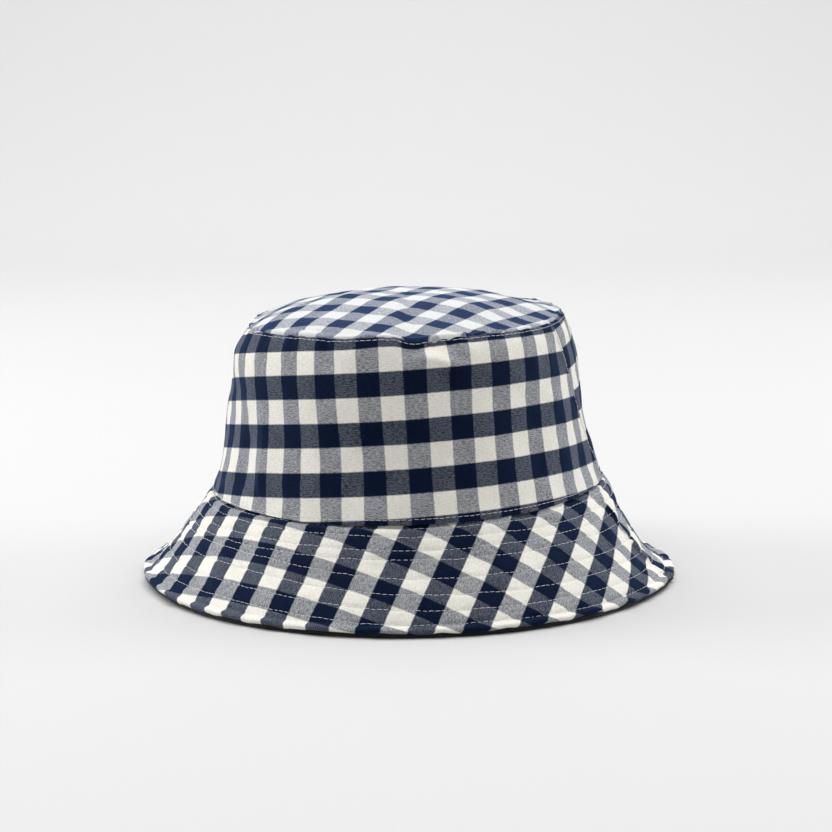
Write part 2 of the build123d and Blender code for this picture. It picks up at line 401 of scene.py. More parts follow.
def brim_detail(psi, share):
    """How far the brim's cloth stands out from the smooth brim."""
    arc = base_arc(psi) * (1.0 + EDGE_LENGTHENING * (1.0 - share))
    slope = share * BRIM_SLANT
    out = waves(arc, slope, *BRIM_SWELL) + waves(arc, slope, *BRIM_RIPPLE)
    inside = np.clip(share, 0.0, 1.0)
    dish = DISH_DEPTH + sum(depth * near(psi, place, width) for depth, place, width in SIDE_DISHES)
    out -= dish * DISH_SCALE * inside * (1.0 - inside) ** 2
    # Each stitch row pulls a groove, with cloth puffed between the rows.
    for index in range(len(BRIM_ROWS)):
        away = slope - row_share(psi, index) * BRIM_SLANT
        pucker = ROW_PUCKER * ripples(arc, 0.0, ROW_PUCKER_WAVE, ROW_PUCKER_SEED + index)
        out -= groove(away, *ROW_GROOVE) * (1.0 + pucker)
    pinch = slope - HEM_PINCH_HEIGHT * BRIM_SLANT / BASE_Z
    calm = 1.0 - HEM_CALM * ease((np.abs(azimuth_gap(psi, 0.0)) - HEM_CALM_START) / HEM_CALM_RUN)
    pucker = calm * waves(arc, 0.0, *HEM_PUCKER)
    out += HEM_PUFF * calm * bell(pinch + HEM_PUFF_DROP, HEM_PUFF_WIDTH) * (1.0 + pucker)
    out -= groove(pinch, *HEM_PINCH_GROOVE)
    later = climb(psi) + past(psi, *TUCK_RIGHT)
    out -= TUCK_DEPTH * ease((share - TUCK_START - TUCK_LATER * later) / TUCK_RUN)
    flat_top = 1.0 - SEAM_FLATTENING * ease((share - SEAM_FLAT_START) / SEAM_FLAT_RUN)
    pucker = waves(slope, 0.0, *SEAM_PUCKER)
    gape = 1.0 + SEAM_GAPE * bell(share - SEAM_GAPE_SHARE, SEAM_GAPE_WIDTH)
    for turn, sign, bulk in (RIGHT_SEAM, LEFT_SEAM):
        beside = azimuth_gap(psi, brim_seam(share) + turn) * SEAM_RADIUS * sign
        ridge = bell(beside + SEAM_RIDGE_BEHIND, SEAM_RIDGE_WIDTH)
        gap = gape * bell(beside - SEAM_GAP_AHEAD, SEAM_GAP_WIDTH)
        out += bulk * flat_top * (1.0 + pucker) * (ridge - gap)
    return out


CLIMB_START, CLIMB_END = (5, -0.9076), (-100, -1.0472)
ROW_BOW_PLACE = (-12, 0.45)
# How much each row wanders: height, wavelength, first seed and number of waves.
ROW_WANDER, ROW_WANDER_WAVE, ROW_WANDER_SEED, ROW_WANDER_COUNT = 0.22, 90.0, 60, 6


def climb(psi):
    """1 on the left front of the brim, where the rows climb, and 0 at the front and behind."""
    return past(psi, *CLIMB_START) * (1.0 - past(psi, *CLIMB_END))


def row_share(psi, index):
    """Share of the brim at which a stitch row runs."""
    height, rise, bow = BRIM_ROWS[index]
    height = height + rise * climb(psi) + bow * near(psi, *ROW_BOW_PLACE)
    arc = base_arc(psi)
    wander = ripples(arc, 0.0, ROW_WANDER_WAVE, ROW_WANDER_SEED + index, ROW_WANDER_COUNT)
    return height / BASE_Z + ROW_WANDER * wander / BRIM_SLANT


BRIM_CUT_RADIUS = 152.2
BRIM_CUT_STRETCH = (0.882, 0.175)
BRIM_CUT_SKEW = (-0.0155, -0.0555)
BRIM_CUT_SPRING = (-1.52, -4.53)
BRIM_GRAIN_TURN = radians(-25.605)
BRIM_WEFT_PITCH = 10.12
BRIM_WARP_PITCH = 8.454
BRIM_WEFT_START = 14.23
BRIM_WARP_START = 10.92


def brim_cut(psi, share, middle):
    """Place of a brim point on its flat cut, in millimetres across and up."""
    turn = (base_arc(psi) - base_arc(middle)) / BRIM_CUT_RADIUS
    turn = turn + BRIM_CUT_SKEW[0] * turn**2 + BRIM_CUT_SKEW[1] * turn**3
    stretch = BRIM_CUT_STRETCH[0] + BRIM_CUT_STRETCH[1] * turn
    radius = BRIM_CUT_RADIUS + BRIM_SLANT * (1.0 - share) * stretch
    radius = radius + BRIM_CUT_SPRING[0] * turn**2 + BRIM_CUT_SPRING[1] * turn**3
    return radius * np.sin(turn), BRIM_CUT_RADIUS - radius * np.cos(turn)


def brim_pattern(psi, share, middle):
    turn = (base_arc(psi) - base_arc(middle)) / BRIM_CUT_RADIUS
    radius = BRIM_CUT_RADIUS + BRIM_SLANT * (1.0 - share)
    return radius * np.sin(turn), BRIM_CUT_RADIUS - radius * np.cos(turn)


# ---- tip ----

DOME_RISE = 12.7
RIM_PLACES = 360
rim_azimuths = np.linspace(-pi, pi, RIM_PLACES, endpoint=False)
TIP_CENTRE = crown_base(rim_azimuths, np.ones(RIM_PLACES)).mean(axis=0)
TIP_SEAM_INSET = 0.5
TIP_GRAIN_TURN = radians(58.87)
TIP_WARP_PITCH = 9.57
TIP_WEFT_PITCH = 9.6
TIP_WARP_START = -23.17
TIP_WEFT_START = 20.14


def tip_base(psi, share):
    """The smooth tip: a cap in millimetres, fuller or lower across, towards the back and near the edge."""
    rim = crown_base(psi, np.ones_like(psi)) - TIP_CENTRE
    flat = rim[..., :2] * (1.0 - TIP_SEAM_INSET / oval(TIP_HALF, psi))[..., None] * share[..., None]
    across, back = flat[..., 0] / TIP_HALF[0], flat[..., 1] / TIP_HALF[1]
    edge = share**2
    body = DOME_RISE - 3.5 * back - 6.3 * back**2 - 0.9 * across + 5.9 * across**2
    body = body + edge * (0.7 * across**2 - 3.2 * across - 3.7 * back - 2.3) - 1.2 * edge**2
    body += across * back * (10.8 * edge - 3.0)
    z = TIP_CENTRE[2] + rim[..., 2] * share + (1.0 - share**2) * body
    return np.concatenate([flat + TIP_CENTRE[:2], z[..., None]], -1)


# Waves of the tip's cloth, as on the crown.
TIP_SWELL, TIP_SWELL_MARGIN = (0.35, 42.0, 31), 15.0
TIP_RIPPLE = (0.08, 12.0, 32)
TIP_PUCKER, TIP_PUCKER_REACH = (0.30, 9.0, 33), 5.0
# Both shoulders are crumpled into the seam, the left one more: share, azimuth and width.
CRUMPLED = ((1.0, -68, 0.42), (0.6, 52, 0.3))
CRUMPLE, CRUMPLE_REACH = (0.55, 7.0, 34), 4.0
# The edge stands up as a soft ridge and then turns down into the seam.
EDGE_RIDGE = (0.55, 1.1)
EDGE_RIDGE_FROM_SEAM = 1.5
EDGE_TURN_DOWN, EDGE_TURN_REACH = 1.3, (0.9, 0.9)
# A crease just inside the seam, ahead and to the left, and the fold beside it.
CREASE_PLACE = (-32, 0.22)
CREASE_FROM_SEAM, CREASE_GROOVE = 5.0, (0.5, 1.0)
CREASE_FOLD_FROM_SEAM, CREASE_FOLD = 3.2, (0.35, 1.0)


def tip_detail(psi, share):
    """How far the tip's cloth stands out from the smooth tip."""
    radius = oval(TIP_HALF, psi)
    x, y = radius * share * np.sin(psi), -radius * share * np.cos(psi)
    from_seam = (1.0 - share) * radius
    arc = base_arc(psi)
    out = waves(x, y, *TIP_SWELL) * ease(from_seam / TIP_SWELL_MARGIN) + waves(x, y, *TIP_RIPPLE)
    out += waves(arc, 0.0, *TIP_PUCKER) * np.exp(-from_seam / TIP_PUCKER_REACH)
    crumpled = sum(much * near(psi, place, width) for much, place, width in CRUMPLED)
    out += crumpled * np.exp(-from_seam / CRUMPLE_REACH) * waves(arc, from_seam, *CRUMPLE)
    out += groove(from_seam - EDGE_RIDGE_FROM_SEAM, *EDGE_RIDGE)
    out -= EDGE_TURN_DOWN * beside_edge(from_seam, *EDGE_TURN_REACH)
    crease = groove(from_seam - CREASE_FOLD_FROM_SEAM, *CREASE_FOLD)
    crease = crease - groove(from_seam - CREASE_FROM_SEAM, *CREASE_GROOVE)
    return out + near(psi, *CREASE_PLACE) * crease


TIP_CUT_STEPS = 24
TINY = 1e-6


def tip_cut(psi, share):
    """Place of a tip point on its flat cut: the same way out, as far as the cloth is long."""
    total = np.zeros_like(share)
    last = tip_base(psi, 0.0 * share)
    for step in range(1, TIP_CUT_STEPS + 1):
        point = tip_base(psi, share * step / TIP_CUT_STEPS)
        total += np.linalg.norm(point - last, axis=-1)
        last = point
    flat = (last - TIP_CENTRE)[..., :2]
    reach = np.maximum(np.linalg.norm(flat, axis=-1), TINY)
    return flat[..., 0] * total / reach, flat[..., 1] * total / reach


# ---- meshes ----

SHARP_ANGLE = radians(60.0)


def new_object(name, vertices, faces, uvs, material):
    """A mesh object in metres, smooth shaded, with its cloth map."""
    mesh = bpy.data.meshes.new(name)
    faces = faces.tolist() if isinstance(faces, np.ndarray) else faces
    mesh.from_pydata((vertices * MM).tolist(), [], faces)
    layer = mesh.uv_layers.new(name="cloth")
    corner = np.empty(len(mesh.loops), dtype=np.int32)
    mesh.loops.foreach_get("vertex_index", corner)
    layer.data.foreach_set("uv", np.asarray(uvs, dtype=np.float32)[corner].ravel())
    mesh.polygons.foreach_set("use_smooth", np.ones(len(mesh.polygons), dtype=bool))
    mesh.set_sharp_from_angle(angle=SHARP_ANGLE)
    mesh.materials.append(material)
    mesh.update()
    piece = bpy.data.objects.new(name, mesh)
    bpy.context.collection.objects.link(piece)
    return piece


def grid_faces(rows, columns, wrap):
    """Quads of a grid, whose columns may join up into a hoop."""
    last = columns if wrap else columns - 1
    row, column = np.meshgrid(np.arange(rows - 1), np.arange(last), indexing="ij")
    corner = row * columns + column
    after = row * columns + (column + 1) % columns
    return np.stack([corner, corner + columns, after + columns, after], -1).reshape(-1, 4)


def shell(name, outer, inner, uv, material, wrap=False):
    """A closed thin sheet between two grids of points."""
    rows, columns = outer.shape[:2]
    count = rows * columns
    corner = np.arange(count).reshape(rows, columns)
    if wrap:
        corner = np.concatenate([corner, corner[:, :1]], axis=1)
    rims = [corner[0], corner[-1, ::-1]]
    if not wrap:
        rims += [corner[::-1, 0], corner[:, -1]]
    edges = [np.stack([rim[:-1], rim[1:], rim[1:] + count, rim[:-1] + count], -1) for rim in rims]
    front = grid_faces(rows, columns, wrap)
    faces = np.concatenate([front, front[:, ::-1] + count, *edges])
    vertices = np.concatenate([outer.reshape(-1, 3), inner.reshape(-1, 3)])
    uvs = np.concatenate([uv.reshape(-1, 2)] * 2)
    return new_object(name, vertices, faces, uvs, material)


def finish_piece(piece, slot, *nodes):
    """The piece rides on the hat's one body and stands for its CAD nodes, which it hides."""
    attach(piece, "root")
    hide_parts(*nodes)
    return piece


def share_grid(reach, grid):
    """Shares over a grid of (columns, rows), from its first row to its last."""
    columns, rows = grid
    return np.linspace(*reach, rows)[:, None] * np.ones((1, columns))


def panel_grid(seam, reach, side, grid, overlap=0.0):
    """Azimuths and shares over one panel: side 0 is the front one, 1 the back one."""
    share = share_grid(reach, grid)
    start = seam(share) - pi + pi * side
    width = pi + 2.0 * overlap
    psi = start - overlap + width * np.linspace(0.0, 1.0, grid[0])[None, :]
    return psi, share


def face_points(base, detail, psi, share):
    """Points and normals of a surface with its detail."""
    smooth = base(psi, share)
    normal = normals(smooth)
    points = smooth + normal * detail(psi, share)[..., None]
    return points, normal


def panel(name, slot, node, faces, uv, cut, held="stretched", rests_on=()):
    """One cut panel: a thin shell between two faces in its slot's cloth."""
    piece = finish_piece(shell(name, *faces, uv, CLOTHS[slot]), slot, node)


# ---- materials ----


def srgb(red, green, blue):
    """A colour given as 0-255 screen values, in linear light."""
    linear = []
    for value in (red / 255.0, green / 255.0, blue / 255.0):
        linear.append(value / 12.92 if value <= 0.04045 else ((value + 0.055) / 1.055) ** 2.4)
    return (*linear, 1.0)


WHITE = (1.0, 1.0, 1.0, 1.0)


class Nodes:
    """A short way to write a material's nodes."""

    def __init__(self, name):
        self.material = bpy.data.materials.new(name)
        self.material.use_nodes = True
        self.tree = self.material.node_tree
        self.shader = self.tree.nodes["Principled BSDF"]

    def add(self, kind, values=None, **settings):
        """A node with its settings, and with values or sockets put into its inputs."""
        node = self.tree.nodes.new(kind)
        for key, value in settings.items():
            setattr(node, key, value)
        for key, value in (values or {}).items():
            self.put(node.inputs[key], value)
        return node

    def put(self, socket, value):
        """Links a socket or sets a value."""
        if isinstance(value, bpy.types.NodeSocket):
            self.tree.links.new(value, socket)
        else:
            socket.default_value = value

    def math(self, operation, first, second=0.0, clamp=False):
        """One sum on numbers or sockets."""
        values = {0: first, 1: second}
        return self.add("ShaderNodeMath", values, operation=operation, use_clamp=clamp).outputs[0]

    def mix(self, share, first, second):
        """A blend of two colours."""
        node = self.add("ShaderNodeMix", {0: share}, data_type="RGBA")
        self.put(node.inputs[6], first)
        self.put(node.inputs[7], second)
        return node.outputs[2]

    def noise(self, vector, scale, detail=2.0, rough=0.5):
        """Soft noise, 0 to 1, from a vector."""
        values = {"Vector": vector, "Scale": scale, "Detail": detail, "Roughness": rough}
        return self.add("ShaderNodeTexNoise", values).outputs["Fac"]

    def cloth_map(self):
        """The cloth map as (vector, across, along)."""
        uv = self.add("ShaderNodeUVMap", uv_map="cloth").outputs[0]
        split = self.add("ShaderNodeSeparateXYZ", {0: uv})
        return uv, split.outputs[0], split.outputs[1]

    def stretched(self, across, along, across_scale, along_scale):
        """A vector that runs at different scales each way."""
        x = self.math("MULTIPLY", across, across_scale)
        y = self.math("MULTIPLY", along, along_scale)
        return self.add("ShaderNodeCombineXYZ", {0: x, 1: y}).outputs[0]

    def bump(self, height, strength, distance):
        """Bump on the shader from a height."""
        values = {"Height": height, "Strength": strength, "Distance": distance}
        self.put(self.shader.inputs["Normal"], self.add("ShaderNodeBump", values).outputs[0])

    def finish(self, colour, roughness, specular=0.25, sheen=0.0, sheen_tint=WHITE):
        """Sets the shader's own sockets."""
        self.put(self.shader.inputs["Base Color"], colour)
        self.put(self.shader.inputs["Sheen Tint"], sheen_tint)
        self.shader.inputs["Roughness"].default_value = roughness
        self.shader.inputs["Specular IOR Level"].default_value = specular
        self.shader.inputs["Sheen Weight"].default_value = sheen
        self.shader.inputs["Sheen Roughness"].default_value = 0.5
        return self.material


THREADS_PER_SQUARE = 26.0


def weave_height(nodes, across, along, threads):
    """A plain weave as a height: yarns over and under by turns."""
    turns = pi * threads
    warp = nodes.math("SINE", nodes.math("MULTIPLY", across, turns))
    weft = nodes.math("SINE", nodes.math("MULTIPLY", along, turns))
    return nodes.math("MULTIPLY", warp, weft)


CREAM_YARN = (srgb(222, 219, 207), srgb(248, 246, 238))
NAVY_YARN = (srgb(5, 12, 30), srgb(14, 26, 54))
CREAM_FUZZ, NAVY_FUZZ = (0.80, 0.86, 1.0, 1.0), (0.14, 0.26, 0.56, 1.0)
FUZZ_WEIGHT = 0.22
COTTON_ROUGHNESS, COTTON_SPECULAR = 0.92, 0.05
# How far the edges of the squares stray, in squares, and how sharp they are.
EDGE_STRAY, EDGE_SHARPNESS = 0.035, 6.0
# Slubs in the yarns, as noise: scales across and along in squares, and how much each counts.
STREAK_SCALES, STREAK_GAIN = (5.5, 25.0), 2.5
CROSS_STREAK_SCALES, CROSS_STREAK_GAIN = (24.0, 6.0), 0.8
SPECK_SCALE, SPECK_GAIN = 24.0, 2.1
PATCH_SCALE, PATCH_GAIN = 0.9, 0.5
# How much yarns and specks stand up beside the streaks.
YARN_RELIEF, SPECK_RELIEF = 0.35, 0.6


def gingham_material(name, grey_tones, slate_tones, navy_tones=NAVY_YARN, cream_tones=CREAM_YARN):
    """Yarn-dyed check: cream, two mixed tones and navy, with the map in squares."""
    nodes = Nodes(name)
    uv, across, along = nodes.cloth_map()

    def centred(value, gain):
        """A noise value about nothing, times a gain."""
        return nodes.math("MULTIPLY", nodes.math("SUBTRACT", value, 0.5), gain)

    def stripe(place):
        """1 on navy yarns and 0 on cream ones; even places are cream."""
        turn = nodes.math("MULTIPLY", nodes.math("ADD", place, stray), pi)
        wave = nodes.math("MULTIPLY", nodes.math("COSINE", turn), -EDGE_SHARPNESS)
        return nodes.math("ADD", wave, 0.5, clamp=True)

    stray = centred(nodes.noise(uv, 9.0, 3.0), EDGE_STRAY)
    warp, weft = stripe(across), stripe(along)
    streaks = nodes.noise(nodes.stretched(across, along, *STREAK_SCALES), 1.0, 2.0, 0.6)
    cross_streaks = nodes.noise(nodes.stretched(across, along, *CROSS_STREAK_SCALES), 1.0, 2.0, 0.6)
    specks = nodes.noise(uv, SPECK_SCALE, 2.0, 0.8)
    patches = nodes.noise(uv, PATCH_SCALE, 3.0, 0.6)
    mottle = nodes.math("ADD", centred(streaks, STREAK_GAIN), centred(specks, SPECK_GAIN))
    mottle = nodes.math("ADD", mottle, centred(cross_streaks, CROSS_STREAK_GAIN))
    mottle = nodes.math("ADD", mottle, centred(patches, PATCH_GAIN))
    worn = nodes.math("ADD", mottle, 0.5, clamp=True)
    tones = (cream_tones, grey_tones, slate_tones, navy_tones)
    cream, grey, slate, navy = (nodes.mix(worn, *pair) for pair in tones)
    colour = nodes.mix(weft, nodes.mix(warp, cream, grey), nodes.mix(warp, slate, navy))
    weave = weave_height(nodes, across, along, THREADS_PER_SQUARE)
    slubs = nodes.math("ADD", streaks, nodes.math("MULTIPLY", specks, SPECK_RELIEF))
    height = nodes.math("ADD", nodes.math("MULTIPLY", weave, YARN_RELIEF), slubs)
    nodes.bump(height, 0.45, 0.00025)
    # The fuzz on the dark yarns catches the light blue.
    dark_share = nodes.math("MULTIPLY", nodes.math("ADD", warp, weft), 0.5)
    fuzz = nodes.mix(dark_share, CREAM_FUZZ, NAVY_FUZZ)
    return nodes.finish(colour, COTTON_ROUGHNESS, COTTON_SPECULAR, FUZZ_WEIGHT, fuzz)


def plain_cloth_material(name, dark, light, threads, shine=0.25, rough=0.8):
    """A plain woven cloth in one colour, with the map in millimetres."""
    nodes = Nodes(name)
    uv, across, along = nodes.cloth_map()
    streaks = nodes.noise(nodes.stretched(across, along, 0.25, 3.0), 1.0, 3.0, 0.6)
    specks = nodes.noise(uv, 3.0, 3.0, 0.7)
    mottle = nodes.math("MULTIPLY", streaks, 0.6)
    mottle = nodes.math("ADD", mottle, nodes.math("MULTIPLY", specks, 0.4))
    colour = nodes.mix(mottle, dark, light)
    height = nodes.math("ADD", weave_height(nodes, across, along, threads), streaks)
    nodes.bump(height, 0.3, 0.0002)
    return nodes.finish(colour, rough, shine, 0.1)


RIB_PITCH = 1.1
TWIST_PITCH = 0.5


def ribbed_material():
    """Grosgrain band: fine ribs across its length, with the map in millimetres."""
    nodes = Nodes("sweatband")
    uv, across, along = nodes.cloth_map()
    ribs = nodes.math("SINE", nodes.math("MULTIPLY", across, 2.0 * pi / RIB_PITCH))
    specks = nodes.noise(uv, 2.5, 3.0, 0.6)
    colour = nodes.mix(specks, srgb(16, 18, 30), srgb(38, 41, 60))
    nodes.bump(nodes.math("ADD", ribs, specks), 0.5, 0.0003)
    return nodes.finish(colour, 0.7, 0.3, 0.1)


def thread_material(name, dark, light):
    """Twisted thread, with the map in millimetres along and round it."""
    nodes = Nodes(name)
    uv, across, along = nodes.cloth_map()
    wound = nodes.math("ADD", across, along)
    twist = nodes.math("SINE", nodes.math("MULTIPLY", wound, 2.0 * pi / TWIST_PITCH))
    specks = nodes.noise(uv, 1.7, 2.0, 0.6)
    nodes.bump(twist, 0.4, 0.00005)
    return nodes.finish(nodes.mix(specks, dark, light), 0.55, 0.4, 0.1)


gingham = gingham_material(
    "gingham_cloth",
    (srgb(88, 91, 97), srgb(184, 186, 188)),
    (srgb(20, 26, 42), srgb(101, 106, 119)),
)
# On the tip the same cloth is given painted light: its navy and two mixed tones are lifted and lie closer
# together, a painted sheen, and its cream is darkened, painted shade against the stronger light from
# above.
tip_painted_light_gingham = gingham_material(
    "tip_painted_light_gingham_cloth",
    (srgb(112, 115, 123), srgb(197, 198, 202)),
    (srgb(76, 81, 96), srgb(166, 169, 177)),
    (srgb(20, 32, 60), srgb(40, 56, 90)),
    (srgb(198, 199, 197), srgb(222, 223, 221)),
)
CLOTHS = {
    "gingham_cloth": gingham,
    "dark_lining": plain_cloth_material("dark_lining", srgb(11, 12, 16), srgb(24, 25, 32), 2.6),
    "interlining": plain_cloth_material("interlining", srgb(196, 194, 188), srgb(222, 220, 214), 1.6),
    "sweatband": ribbed_material(),
    "label": plain_cloth_material("label", srgb(206, 204, 198), srgb(232, 230, 226), 3.0, 0.4, 0.6),
    "light_thread": thread_material("light_thread", srgb(200, 202, 206), srgb(232, 231, 229)),
    "dark_thread": thread_material("dark_thread", srgb(14, 16, 30), srgb(34, 38, 58)),
}

# ---- crown and brim panels ----

SIDES = (("front", 0), ("back", 1))
CROWN_CHECK_MIDDLE = radians(22.0)
CROWN_WARP_START = -155.81
CROWN_WEFT_START = 64.48
# The back panels are cut from another part of the cloth.
BACK_CROWN_CHECK_MIDDLE = radians(110.0)
BACK_CROWN_SHIFT = (-0.35, 0.2)
BACK_BRIM_SHIFT = (0.5, -0.4)


def crown_squares(psi, share, side):
    """The crown's cloth map, in squares."""
    across, up = crown_cut(psi, share, BACK_CROWN_CHECK_MIDDLE if side else CROWN_CHECK_MIDDLE)
    warp = (across - CROWN_WARP_START) / WARP_PITCH + 0.5 + BACK_CROWN_SHIFT[0] * side
    weft = (CROWN_WEFT_START - up) / WEFT_PITCH + 0.5 + BACK_CROWN_SHIFT[1] * side
    return np.stack([warp, weft], -1), (across, up)


def brim_squares(psi, share, side):
    """The brim's cloth map, in squares."""
    along, up = turned(*brim_cut(psi, share, pi * side), BRIM_GRAIN_TURN)
    warp = (up - BRIM_WARP_START) / BRIM_WARP_PITCH + BACK_BRIM_SHIFT[0] * side
    weft = (along - BRIM_WEFT_START) / BRIM_WEFT_PITCH + BACK_BRIM_SHIFT[1] * side
    return np.stack([warp, weft], -1)


# How far each cloth's two faces lie inside the outer face.
LAYER_INSETS, inset = {}, 0.0
for slot, thickness in LAYERS:
    LAYER_INSETS[slot] = (inset, inset + thickness)
    inset += thickness + LAYER_GAP

# Extra room between the outer cloth and the two layers inside it.
CROWN_ROOM, TIP_ROOM = 0.3, 0.5


def between(points, normal, insets):
    """The two faces of a layer set in from an outer face."""
    return [points - normal * inset for inset in insets]


SEAM_LAP_RADIUS = 85.0
FRONT_LAP, FRONT_LAP_BESIDE, FRONT_LAP_WIDTH = 0.45, 0.6, 1.6
BACK_LAP, BACK_LAP_WIDTH = 0.75, 2.2


def lap(psi, share, seam, side):
    """At the side seams the front panel's folded edge lies on the back panel's."""
    out = 0.0
    for turn in (0.0, pi):
        beside = np.abs(azimuth_gap(psi, seam(share) + turn)) * SEAM_LAP_RADIUS
        raised = groove(beside - FRONT_LAP_BESIDE, FRONT_LAP, FRONT_LAP_WIDTH)
        out += raised if side == 0 else -groove(beside, BACK_LAP, BACK_LAP_WIDTH)
    return out


# Columns and rows of each panel's grid.
CROWN_GRID, CROWN_LAYER_GRID = (340, 92), (300, 72)
BRIM_GRID = (460, 74)
# The shares from each panel's lower edge to its upper one.
CROWN_REACH, CROWN_LAYER_REACH = (-0.008, 1.004), (-0.012, 0.995)
# At the side seams panels lap over or stop short, as angles.
BACK_PANEL_LAP = 0.016
INTERLINING_GAP = 0.014
LINING_LAP = 0.006
# The crown's lower edge hangs lowest from the front middle round to the right.
HANG, HANG_FADE = 0.022, 0.12
HANG_START, HANG_END, HANG_LOSS = (-53.73, 0.7), (30, 0.6), 0.75
for side_name, side in SIDES:
    psi, share = panel_grid(crown_seam, CROWN_REACH, side, CROWN_GRID, BACK_PANEL_LAP * side)
    hang = past(psi, *HANG_START) * (1.0 - HANG_LOSS * past(psi, *HANG_END))
    share = share - HANG * hang * ease(1.0 - (share - CROWN_REACH[0]) / HANG_FADE)
    points, normal = face_points(crown_base, crown_detail, psi, share)
    points += normal * lap(psi, share, crown_seam, side)[..., None]
    squares, cut = crown_squares(psi, share, side)
    faces = between(points, normal, LAYER_INSETS["gingham_cloth"])
    panel(f"crown_{side_name}_cloth", "gingham_cloth", f"crown_panel_{side_name}", faces, squares, cut)

    for layer, slot, overlap in (
        ("interlining", "interlining", -INTERLINING_GAP),
        ("lining", "dark_lining", LINING_LAP),
    ):
        psi, share = panel_grid(crown_seam, CROWN_LAYER_REACH, side, CROWN_LAYER_GRID, overlap)
        points, normal = face_points(crown_base, crown_detail, psi, share)
        cut = crown_cut(psi, share, CROWN_CHECK_MIDDLE + pi * side)
        faces = between(points, normal, [inset + CROWN_ROOM for inset in LAYER_INSETS[slot]])
        name, node = f"crown_{side_name}_{layer}_cloth", f"crown_{layer}_{side_name}"
        panel(name, slot, node, faces, np.stack(cut, -1), cut)


def hem_roll(points, normal, radius):
    """Rows of points that carry a panel's lower edge round in a roll."""
    down = points[0] - points[1]
    down = down / np.linalg.norm(down, axis=-1, keepdims=True)
    centre = points[0] - normal[0] * radius
    return np.array([centre + radius * (cos(turn) * normal[0] + sin(turn) * down) for turn in HEM_ANGLES])


HEM_STEPS = 8
HEM_TURN = radians(160.0)
HEM_ANGLES = np.linspace(HEM_TURN, HEM_TURN / HEM_STEPS, HEM_STEPS)
HEM_START = HEM_RADIUS / BRIM_SLANT
BRIM_REACH = (HEM_START, 1.0)
INNER_REACH = (2.2 * HEM_START, 0.985)
# The brim's inner layers: name, slot, nodes, reach, grid and how far they lap over at the side seams.
BRIM_LAYERS = (
    ("interlining_cloth", "interlining", "brim_interlining", INNER_REACH, (300, 44), -INTERLINING_GAP),
    ("underside", "dark_lining", "brim_under", (0.0, 1.03), (520, 46), LINING_LAP),
)
# The underside droops a little below the hem, but stays above the table.
UNDER_DROOP, UNDER_DROOP_REACH, UNDER_LOWEST = 0.75, 4.0, 0.02
for side_name, side in SIDES:
    middle = pi * side
    psi, share = panel_grid(brim_seam, BRIM_REACH, side, BRIM_GRID)
    points, normal = face_points(brim_base, brim_detail, psi, share)
    outer, inner = between(points, normal, LAYER_INSETS["gingham_cloth"])
    roll = hem_roll(outer, normal, HEM_RADIUS)
    inner_roll = hem_roll(inner, normal, HEM_RADIUS - LAYER_INSETS["gingham_cloth"][1])
    faces = [np.concatenate([roll, outer]), np.concatenate([inner_roll, inner])]
    roll_share = (HEM_START - HEM_ANGLES * HEM_RADIUS / BRIM_SLANT)[:, None] + 0.0 * psi[:1]
    psi = np.concatenate([np.repeat(psi[:1], HEM_STEPS, 0), psi])
    share = np.concatenate([roll_share, share])
    squares, cut = brim_squares(psi, share, side), brim_pattern(psi, share, middle)
    panel(f"brim_{side_name}_cloth", "gingham_cloth", f"brim_top_{side_name}", faces, squares, cut)

    for layer, slot, node, reach, grid, overlap in BRIM_LAYERS:
        psi, share = panel_grid(brim_seam, reach, side, grid, overlap)
        points, normal = face_points(brim_base, brim_detail, psi, share)
        faces = between(points, normal, LAYER_INSETS[slot])
        for face in faces if layer == "underside" else ():
            face[..., 2] -= UNDER_DROOP * ease(1.0 - share * BRIM_SLANT / UNDER_DROOP_REACH)
            face[..., 2] = np.maximum(face[..., 2], UNDER_LOWEST)
        uv, cut = np.stack(brim_cut(psi, share, middle), -1), brim_pattern(psi, share, middle)
        panel(f"brim_{side_name}_{layer}", slot, f"{node}_{side_name}", faces, uv, cut)

# ---- tip ----

TIP_COLUMNS, TIP_ROWS = 520, 110
# The rings crowd towards the seam, and the smallest one is drawn together.
TIP_CROWDING, TIP_SMALLEST = 0.9, 0.004

ring_share = np.linspace(0.0, 1.0, TIP_ROWS) ** TIP_CROWDING * (1.0 - TIP_SMALLEST) + TIP_SMALLEST
share = ring_share[:, None] * np.ones((1, TIP_COLUMNS))
psi = np.linspace(-pi, pi, TIP_COLUMNS, endpoint=False)[None, :] * np.ones((TIP_ROWS, 1))
smooth = tip_base(psi, share)
wide = np.concatenate([smooth[:, -1:], smooth, smooth[:, :1]], axis=1)
normal = normals(wide)[:, 1:-1]
points = smooth + normal * tip_detail(psi, share)[..., None]
cut = tip_cut(psi, share)
along, up = turned(*cut, TIP_GRAIN_TURN)
warp = (along - TIP_WARP_START) / TIP_WARP_PITCH
weft = (-up - TIP_WEFT_START) / TIP_WEFT_PITCH
squares, map_mm = np.stack([warp, weft], -1), np.stack(cut, -1)
# The outer tip takes the copy of the cloth with painted sheen and painted shade in its colours.
for layer, slot, cloth, uv, room in (
    ("outer", "gingham_cloth", tip_painted_light_gingham, squares, 0.0),
    ("interlining", "interlining", CLOTHS["interlining"], map_mm, TIP_ROOM),
    ("lining", "dark_lining", CLOTHS["dark_lining"], map_mm, TIP_ROOM),
):
    faces = between(points, normal, [inset + room for inset in LAYER_INSETS[slot]])
    for face in faces:
        face[0] = face[0].mean(axis=0)
    piece = shell(f"tip_{layer}_cloth", *faces, uv, cloth, wrap=True)
    finish_piece(piece, slot, f"tip_{layer}")

# ---- sweatband and label ----

BAND_GRID, LABEL_GRID = (560, 26), (26, 16)
BAND_INSET = LAYER_INSETS["dark_lining"][1] + 0.75 + CROWN_ROOM
BAND_WAVE = (0.15, 25.0, 51)
JOIN_HALF_ANGLE = 0.005
LABEL_INSET = BAND_INSET + SWEATBAND_THICKNESS + 0.45
LABEL_THICKNESS = 0.35
